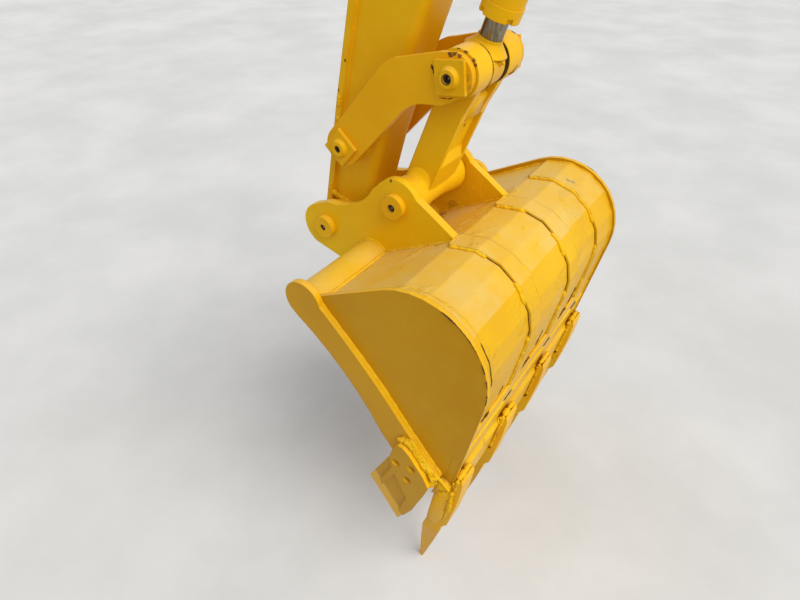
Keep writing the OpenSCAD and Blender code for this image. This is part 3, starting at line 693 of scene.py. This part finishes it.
def strap_welds():
    """Fillets along the straps' edges, and dark tubes in the open slots that they leave: rust and painted
    shade.
    """
    welds, gaps = Welds(11), Welds(12)
    strap_end = -160
    near_edge, near_slot = STRAPS[0][1], (8, -27)
    # A strap's edge, and the upper and lower turn of each slot in it
    open_edges = (
        (near_edge, (near_slot,)),
        (STRAPS[1][0], ((49, 19), (-1, -29))),
        (STRAPS[1][1], ((52, 38), (8, -6))),
        (STRAPS[2][0], ((54, 24), (0, -33))),
        (STRAPS[2][1], ((58, 42), (8, -8))),
        (STRAPS[3][0], ((-1, -22),)))
    for y, slots in open_edges:
        for t0, t1 in between(slots):
            run = shell_run(y, RIM_PROUD - 1.2, t0, t1, strap_end if t1 == -HEEL_TURN else None)
            welds.bead(run, 4.6, lumps=0.17, wide=1.6)
            welds.blobs(run, 1.7, 6)
        for t0, t1 in slots:
            gaps.bead(shell_run(y, RIM_PROUD - 0.4, t0, t1), 1.3, lumps=0.12)
    gaps.bead(shell_run(near_edge + 0.8, RIM_PROUD - STRAP_T + 0.4, *near_slot), 1.5, lumps=0.2)
    for strap in STRAPS[1:3]:
        welds.bead([on_heel(FOLDS_HIGH[0], y, RIM_PROUD - STRAP_T / 2) for y in strap], 4.2)
    welds.make("strap_welds", "bucket", weld_paint)
    gaps.make("strap_gaps", "bucket", slot_rust_and_shade)


def rim_welds():
    """The shell's welds to the side plates, and outside a dark tube where the seam is open: rust and
    painted shade.
    """
    welds, gaps = Welds(21), Welds(22)
    # Turns between which the seam is open, on the right and on the left side
    seam = {-1: ((44, 1), (-1, -9), (-13, -19), (-24, -33)), 1: ((44, 31),)}
    for side in BOTH_SIDES:
        y = side * BUCKET_IN
        welds.bead([in_bucket(u, y, SHELL_TOP) for u in (SHELL_FRONT + 5, HEEL_U + 12)], 4.2)
        welds.bead(shell_run(y, RIM_PROUD - STRAP_T, FOLDS_HIGH[0], -HEEL_TURN, HEEL_FROM), 3.0)
        welds.bead([on_floor(HEEL_FROM, y, RIM_PROUD - 7), on_floor(-8, y, RIM_PROUD - 8)], 4.0)
        outer = side * (BUCKET_HALF + 0.1)
        for t0, t1 in seam[side]:
            centre, radius = (HEEL_M1, HEEL_R1) if t0 > 0 else (HEEL_M2, HEEL_R2)
            gaps.bead(circle(in_bucket, centre, radius - 0.8, outer, t0, t1, 12), 1.0, lumps=0.35)
    welds.make("rim_welds", "bucket", weld_paint)
    gaps.make("rim_seam", "bucket", slot_rust_and_shade)


def ear_welds():
    """Welds of the ears and the torque tube, and along the shell's front edge."""
    welds = Welds(31)
    tail = HEEL_U + 15
    tube_end = 222
    foot_line = ((SHELL_FRONT - 3, SHELL_TOP), (tail - 1, SHELL_TOP - 0.5))
    for side in BOTH_SIDES:
        for y in (side * EAR_IN, side * EAR_OUT):
            welds.bead([in_bucket(u, y, w) for u, w in foot_line], 4.2)
            welds.bead(circle(in_bucket, TUBE_AT, TUBE_R, y, 8, tube_end), 4.0)
        end = [in_bucket(tail, side * y, SHELL_TOP) for y in (EAR_IN, EAR_OUT)]
        welds.bead(end, 4.0)
        welds.blobs(end, 2.2, 9)
        welds.bead(circle(in_bucket, TUBE_AT, TUBE_R, side * BUCKET_IN, -30, tube_end), 4.2)
    welds.bead([in_bucket(SHELL_FRONT, y, SHELL_TOP) for y in (-BUCKET_IN, BUCKET_IN)], 4.4)
    welds.make("ear_welds", "bucket", weld_paint)


def bar_welds():
    """The heavy fillet behind each side bar and the lumpy weld behind each side cutter."""
    welds = Welds(41)
    # The bar's rear edge: share of the way down the mouth, and distance towards the heel
    rear = ((0.03, 38), (0.12, 35), (0.22, 32.5), (0.33, 30), (0.43, 26.5), (0.55, 18.5), (0.67, 8),
            (0.80, -1), (0.94, -9))
    behind_cutter = ((228, -454), (257, -464), (266, -516), (277, -555), (279, -570), (252, -599))
    # The runs of the cutter's weld: how far towards the heel, and how high on the side bar
    runs = ((-4.5, 7.5), (0.0, 5.0), (4.5, 2.0))
    for side in BOTH_SIDES:
        run = along_mouth(side * (BUCKET_HALF + 2.0), rear)
        welds.bead(run, 4.8, lumps=0.12)
        welds.blobs(run, 2.0, 22)
        for shift, height in runs:
            run = [in_bucket(u + shift, side * (BAR_FACE + height), w) for u, w in behind_cutter]
            welds.bead(run, 4.8, pitch=11, lumps=0.24)
            welds.blobs(run, 2.4, 7)
    welds.make("bar_welds", "bucket", weld_paint)


def lip_welds():
    """Welds of the heel plate, the lip and the adapters, and dark tubes in their open gaps: rust and
    painted shade.
    """
    welds, gaps = Welds(51), Welds(52)
    # An edge across the bucket: how far past the corner, how far inside the rim, and its open stretches
    edges = (
        (HEEL_FROM, RIM_PROUD - 3, ((-300, -262), (-109, -45), (135, 195))),
        (LIP_BACK, RIM_PROUD - 7.5, ((-165, -122), (72, 118), (270, 312))))
    for a, b, stretches in edges:
        y = -BUCKET_IN
        for low, high in stretches:
            welds.bead([on_floor(a, y, b), on_floor(a, low, b)], 4.0)
            gaps.bead([on_floor(a - 2, low, b), on_floor(a - 2, high, b)], 1.9, lumps=0.25)
            y = high
        welds.bead([on_floor(a, y, b), on_floor(a, BUCKET_IN, b)], 4.0)
    # Slits along the floor: the middle's y, and how far past the corner the ends lie
    slits = ((-220, -205, -179), (-15, -227, -178), (214, -219, -160), (-330, -60, -30), (-60, -88, -52),
             (190, -70, -38))
    for y, a0, a1 in slits:
        gaps.bead([on_floor(a0, y + 6, RIM_PROUD), on_floor(a1, y - 6, RIM_PROUD)], 1.9, lumps=0.35)
    # Fillets along an adapter's side: each end past the corner and inside the rim, radius and lumps
    fillets = (
        ((-24, -6), (30, -7), 5.2, 0.22),
        ((24, 26), (116, 26), 4.8, 0.2),
        ((-22, -7.5), (118, -7.5), 4.6, 0.22))
    for k in range(TEETH):
        middle = (k - (TEETH - 1) / 2) * TOOTH_PITCH
        sides = (middle - ADAPTER_HALF, middle + ADAPTER_HALF)
        welds.bead([on_floor(-25, y, -6) for y in sides], 6.0, lumps=0.25)
        for y in sides:
            for (a0, b0), (a1, b1), radius, lumps in fillets:
                welds.bead([on_floor(a0, y, b0), on_floor(a1, y, b1)], radius, lumps=lumps)
        welds.blobs([on_floor(-30, middle - 50, -2), on_floor(100, middle + 50, -6)], 2.8, 16)
    welds.make("lip_welds", "bucket", weld_paint)
    gaps.make("lip_gaps", "bucket", slot_rust_and_shade)


def arm_welds():
    """Welds of the arm's under plate, bosses and brackets, with lumps by its two lower pins."""
    welds = Welds(61)
    # The under plate's line: along the arm, and off the pin line
    under = ((20, -NOSE_UNDER), (300, -NOSE_UNDER), (522, 5 - NOSE_UNDER), (900, -46), (ARM_LEN - 120, -82),
             (ARM_LEN + 90, -82), (ARM_LEN + 278, 29))
    # Lumpy runs: off the pin line, out from the arm's side, and along the arm
    lumpy = (
        ((-48, UNDER_PROUD, 84), (-45, UNDER_PROUD, 62), (-30, 5, 50), (-8, 1, 45)),
        ((-50, UNDER_PROUD, 318), (-47, UNDER_PROUD, 292)),
        ((-48, UNDER_PROUD, 266), (-40, 9, 250)))
    guide_pin = (GUIDE_T, GUIDE_S)
    # A boss, the circle of its weld and the bead's radius
    bosses = (((0, 0), 46, 4.6), (guide_pin, 44, 5.0), ((0, ARM_LEN), 58, 5.0))
    # The faces of one lug of the cylinder's bracket and of one lug of the rear bracket
    base_lug, rear_lug = (33, 53), (46, 71)
    base_foot = ((228, BASE_S - 118), (258, BASE_S + 60), (262, BASE_S + 126))
    for side in BOTH_SIDES:
        welds.bead([in_arm(t, side * ARM_HALF, s) for s, t in under], 2.6, lumps=0.05)
        for run in lumpy:
            welds.bead([in_arm(t, side * (ARM_HALF + out), s) for t, out, s in run], 6.5, lumps=0.35)
        for centre, around, radius in bosses:
            welds.bead(circle(in_arm, centre, around, side * ARM_HALF, 0, 360), radius)
        for y in base_lug:
            welds.bead([in_arm(t, side * y, s) for t, s in base_foot], 4.0)
        for y in rear_lug:
            welds.bead([in_arm(t, side * y, ARM_LEN + 280) for t in (52, 163)], 4.0)
        proud = side * (ARM_HALF + 3)
        welds.blobs(circle(in_arm, (0, 0), 47, proud, 20, 160), 3.2, 10)
        welds.blobs(circle(in_arm, guide_pin, 46, proud, 90, 300), 3.4, 14)
    welds.make("arm_welds", "arm", weld_paint)


def around_cylinder(radius, z):
    """Places around the cylinder, z along it from its base pin."""
    sides = 40
    return [in_cylinder(*polar((0, 0), radius, 360 * i / sides), z) for i in range(sides + 1)]


def cylinder_welds():
    """The weld between the barrel and its eye, and the dark wiper around the rod."""
    welds = Welds(71)
    welds.bead(around_cylinder(BARREL_R - 2, 50), 3.6, lumps=0.04)
    welds.make("barrel_weld", "cylinder_barrel", weld_paint)
    wiper = Welds(72)
    wiper.bead(around_cylinder(26.5, CYL_LEN - 98), 2.2, lumps=0.0)
    wiper.make("rod_wiper", "cylinder_barrel", grease_dark)


# A grease nipple: distance from its foot, and radius
NIPPLE = ((0.0, 4.6), (3.5, 4.6), (3.7, 3.0), (7.0, 2.8), (7.8, 3.4), (9.8, 3.4), (11.2, 2.2), (11.6, 0.8))
WELL_R = 8.5


def grease_points():
    """A dark greasy well with a nipple in each pin end, and a nipple on the rod's eye."""
    # A body's pins: the pin, the well's bottom, its depth and the radius of the grease around it
    table = {
        "bucket": ((PIN_A, EAR_OUT + 4, 14.0, 0), (PIN_D, EAR_OUT + 4, 14.0, 9.6)),
        "guide_links": ((PIN_B, GUIDE_OUT, 20.0, 0), (PIN_C, GUIDE_OUT, 20.0, 10.6)),
    }
    for body, pins in table.items():
        wells, nipples = Mesh(), Mesh()
        for pin, bottom, depth, smear in pins:
            # The well's wall and bottom: distance from its foot, and radius
            well = ((depth * 0.82, WELL_R), (depth * 0.80, WELL_R - 0.8), (1.0, WELL_R - 1.0), (0.8, 0.5))
            for side in BOTH_SIDES:
                axis = Vector((0, side, 0))
                foot = Vector((pin[0], side * (bottom + 0.3), pin[1])) * MM
                wells.lathe(foot, axis, well, 20)
                nipples.lathe(foot, axis, NIPPLE)
                if smear:
                    face = Vector((pin[0], side * (bottom + depth + 0.2), pin[1])) * MM
                    across = axis.orthogonal().normalized()
                    wells.washer(face, across, axis.cross(across), smear, WELL_R - 0.3, 24)
        wells.make(body + "_grease", body, grease_dark)
        nipples.make(body + "_nipples", body, nipple_metal)
    extra = Mesh()
    out = (in_cylinder(-1, 0, -0.55) - in_cylinder(0, 0, 0)).normalized()
    extra.lathe(in_cylinder(0, -5, CYL_LEN) + out * ((EYE_R - 0.5) * MM), out, NIPPLE)
    extra.make("eye_nipple", "cylinder_rod", pin_paint)


def push_web():
    """The web that closes the foot of the push link's fork."""
    web = Mesh()
    back, front = 8, CASTING_OUT - 0.5
    outline = ((back, 0.3), (27.5, 0.3), (front, 3.5), (front, 50), (front - 3.5, 55), (20, 57), (back, 50))
    half = SLOT_HALF - 0.2
    web.loft([[in_push(x, y, SLOT_ROOT + z) for x, z in outline] for y in (-half, half)])
    web.make("push_link_web", "push_link", cast_paint)


def push_feet():
    """The rounded feet where the push link meets its lower boss."""
    feet = Mesh()
    stations = 18
    middle, reach = (CASTING_IN + CASTING_OUT) / 2, (CASTING_OUT - CASTING_IN) / 2
    # A foot's radius at the casting's edges, and how much it grows to the middle
    size_edge, size_rise = 3, 22
    inside, depth = PUSH_HALF - 3, 6
    for side in BOTH_SIDES:
        sections = []
        for i in range(stations + 1):
            share = -1 + 2 * i / stations
            x = middle + reach * share
            top = math.sqrt(BOSS_R ** 2 - x * x)
            size = size_edge + size_rise * math.sqrt(max(0.0, 1 - abs(share) ** 4))
            section = [polar((PUSH_HALF + size, top + size), size, 180 + q) for q in range(0, 91, 10)]
            section += [(PUSH_HALF + size * 0.6, top - depth), (inside, top - depth), (inside, top + size)]
            sections.append([in_push(x, side * y, z) for y, z in section])
        feet.loft(sections)
    feet.make("push_link_feet", "push_link", cast_paint)


def dark_seams():
    """Dark tubes in open seams around the top pin, on the right guide link and on the push link's fork:
    rust and painted shade.
    """
    gaps = Welds(81)
    y = -GUIDE_OUT - 0.2
    # Beside the keeper plate: along the link from its lower pin, and above its line
    gaps.bead([in_guide(x, y, z) for x, z in ((323, 40), (320, 26), (321, 12))], 2.0, lumps=0.5)
    gaps.bead([in_guide(x, y, z) for x, z in ((305, -20), (322, -31), (333, -34))], 1.4, lumps=0.4)
    gaps.make("link_seams", "guide_links", slot_rust_and_shade)
    gaps = Welds(82)
    gaps.bead([in_push(48, 80, 327), in_push(48.5, 72, 312), in_push(47.5, 53, 310)], 1.2, lumps=0.3)
    gaps.bead(circle(in_push, (0, PUSH_LEN), EYE_R + 2.4, -SLOT_HALF - 1, -70, 95), 1.0, lumps=0.2)
    gaps.make("push_seams", "push_link", slot_rust_and_shade)


def fork_gap_shade():
    """Dark rings in the old grease's colour on the inside of the push link's fork: painted shade beside the
    rod's eye.
    """
    faces = Mesh()
    across = (in_push(1, 0, 0) - in_push(0, 0, 0)).normalized()
    up = (in_push(0, 0, 1) - in_push(0, 0, 0)).normalized()
    for side in BOTH_SIDES:
        faces.washer(in_push(0, side * (SLOT_HALF - 0.3), PUSH_LEN), across, up, EYE_R + 1.5, 24, 40)
    faces.make("fork_gap_shade", "push_link", grease_dark)


def cutter_hole_shade():
    """Dark bottoms in the side cutters' holes, where the side bar closes them: painted shade in the holes.
    """
    holes = Mesh()
    for side in BOTH_SIDES:
        for along, across in CUTTER_HOLES:
            u, w = by_corner(along, across)
            bottom = in_bucket(u, side * (BAR_FACE + 0.3), w)
            holes.lathe(bottom, Vector((0, side, 0)), ((0.0, HOLE_R - 0.1), (0.8, HOLE_R - 0.6)), 24)
    holes.make("cutter_hole_shade", "bucket", slot_rust_and_shade)


def bar_ends():
    """The side bars' lower ends, which reach down to the corner beside the outer adapters."""
    ends, welds = Mesh(), Welds(83)
    # Share of the way down the mouth, and distance towards the heel
    outline = ((0.944, -10), (0.98, -3), (1.0, -3), (1.012, -12), (1.010, -46), (0.997, -70))
    edge = ((0.90, -6), (0.95, -6), (1.0, -5), (1.012, -14))
    foot = ((1.012, -14), (1.010, -48))
    for side in BOTH_SIDES:
        ends.loft([along_mouth(side * y, outline) for y in (BUCKET_HALF + 0.3, BAR_FACE - 0.3)])
        y = side * (BAR_FACE - 1)
        welds.bead(along_mouth(y, edge), 4.2, lumps=0.3)
        welds.bead(along_mouth(y, foot), 5.0, lumps=0.3)
    ends.make("side_bar_ends", "bucket", bar_paint)
    welds.make("side_bar_end_welds", "bucket", weld_paint)


def adapter_cheeks():
    """The outer adapters' thick sides, which cover the lip's ends."""
    cheeks, welds = Mesh(), Welds(84)
    # Distance past the corner, and inside the rim
    outline = ((26, 2), (26, 30), (36, 36), (192, 32), (202, 24), (202, 0), (150, -8), (70, -8), (40, -4))
    middle_a, middle_b = 114, 14
    inner = [(middle_a + (a - middle_a) * 0.95, middle_b + (b - middle_b) * 0.88) for a, b in outline]
    # Height on the side plate, and the outline there
    levels = ((0.2, outline), (3.0, outline), (5.5, inner))
    # A bead's radius and its run
    beads = ((4.5, ((22, 0), (22, 32), (34, 38))), (5.0, ((24, -4), (90, -11), (150, -11))))
    for side in BOTH_SIDES:
        cheeks.loft([[on_floor(a, side * (BUCKET_HALF + out), b) for a, b in line] for out, line in levels])
        for radius, run in beads:
            welds.bead([on_floor(a, side * (BUCKET_HALF + 2), b) for a, b in run], radius, lumps=0.3)
    cheeks.make("adapter_cheeks", "bucket", worn_paint)
    welds.make("adapter_cheek_welds", "bucket", weld_paint)


def shell_blemishes():
    """Old weld lumps and drips that the paint has run over."""
    lumps = Welds(92)
    rng = lumps.rng
    # Turn on the heel, and distance along the pins
    marks = ((40, -126), (73, -18), (27, -18), (78, 150), (56, -78), (44, 0), (43, 294), (70, -132),
             (39, 186))
    for t, y in marks:
        for _ in range(5):
            place = on_heel(t + rng.uniform(-1.5, 1.5), y + rng.uniform(-7, 7), RIM_PROUD + 1.3)
            lumps.drop(place, 1.8 + 1.4 * rng.random())
    lumps.make("shell_blemishes", "bucket", weld_paint)


def spatter():
    """Drops of weld spatter on the inside of the ears and on the shell between and beside them."""
    drops = Welds(91)
    rng = drops.rng
    ear_heights = (SHELL_TOP + 3, SHELL_TOP + 55)
    on_shell = (SHELL_TOP, SHELL_TOP)
    # Count, and lowest and highest u, y and w
    table = (
        (80, (205, 340), (EAR_IN, EAR_IN), ear_heights),
        (40, (205, 340), (-EAR_IN, -EAR_IN), ear_heights),
        (50, (185, 372), (-108, 108), on_shell),
        (26, (300, 372), (-172, -136), on_shell))
    for count, *spans in table:
        for _ in range(count):
            u, y, w = (rng.uniform(low, high) for low, high in spans)
            drops.drop(in_bucket(u, y, w), 0.7 + 0.7 * rng.random())
    drops.make("weld_spatter", "bucket", weld_paint)


strap_welds()
rim_welds()
ear_welds()
bar_welds()
lip_welds()
arm_welds()
cylinder_welds()
grease_points()
push_web()
push_feet()
dark_seams()
fork_gap_shade()
cutter_hole_shade()
bar_ends()
adapter_cheeks()
shell_blemishes()
spatter()

# Floor and light
FLOOR_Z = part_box("teeth")[0].z
FLOOR_SIZE = 30.0
FLOOR_DARK, FLOOR_PALE = (0.60, 0.595, 0.58), (0.70, 0.69, 0.675)
FLOOR_BOUNCE = (0.42, 0.41, 0.39)
SKY_COLOUR, SKY_STRENGTH = (0.93, 0.96, 1.0, 1.0), 0.62
SUN_COLOUR, SUN_STRENGTH = (1.0, 0.98, 0.94), 2.3
SUN_WIDTH = 50.0
SUN_WAY = (-0.85, 0.12, -1.0)


def make_floor():
    """A pale floor to the camera and to reflections, and a darker one to the light that bounces off it."""
    g = Graph("floor")
    pale = g.mix(g.ramp(g.noise(1.3, 6.0, 0.6), 0.3, 0.75), FLOOR_DARK, FLOOR_PALE)
    rays = g.tree.nodes.new("ShaderNodeLightPath")
    seen = g.math("MAXIMUM", rays.outputs["Is Camera Ray"], rays.outputs["Is Glossy Ray"])
    g.link(g.mix(seen, FLOOR_BOUNCE, pale), g.bsdf.inputs["Base Color"])
    g.bsdf.inputs["Roughness"].default_value = 0.85
    bpy.ops.mesh.primitive_plane_add(size=FLOOR_SIZE, location=(0.0, 0.0, FLOOR_Z))
    floor = bpy.context.object
    floor.name = "floor"
    floor.data.materials.append(g.mat)


def make_light():
    """An overcast sky with a wide, soft sun."""
    world = bpy.data.worlds.new("sky")
    bpy.context.scene.world = world
    world.use_nodes = True
    world.node_tree.nodes["Background"].inputs["Color"].default_value = SKY_COLOUR
    world.node_tree.nodes["Background"].inputs["Strength"].default_value = SKY_STRENGTH
    sun = bpy.data.lights.new("sun", "SUN")
    sun.energy = SUN_STRENGTH
    sun.angle = math.radians(SUN_WIDTH)
    sun.color = SUN_COLOUR
    lamp = bpy.data.objects.new("sun", sun)
    lamp.rotation_euler = Vector(SUN_WAY).to_track_quat("-Z", "Y").to_euler()
    bpy.context.scene.collection.objects.link(lamp)


make_floor()
make_light()
bpy.context.scene.view_settings.view_transform = "Standard"
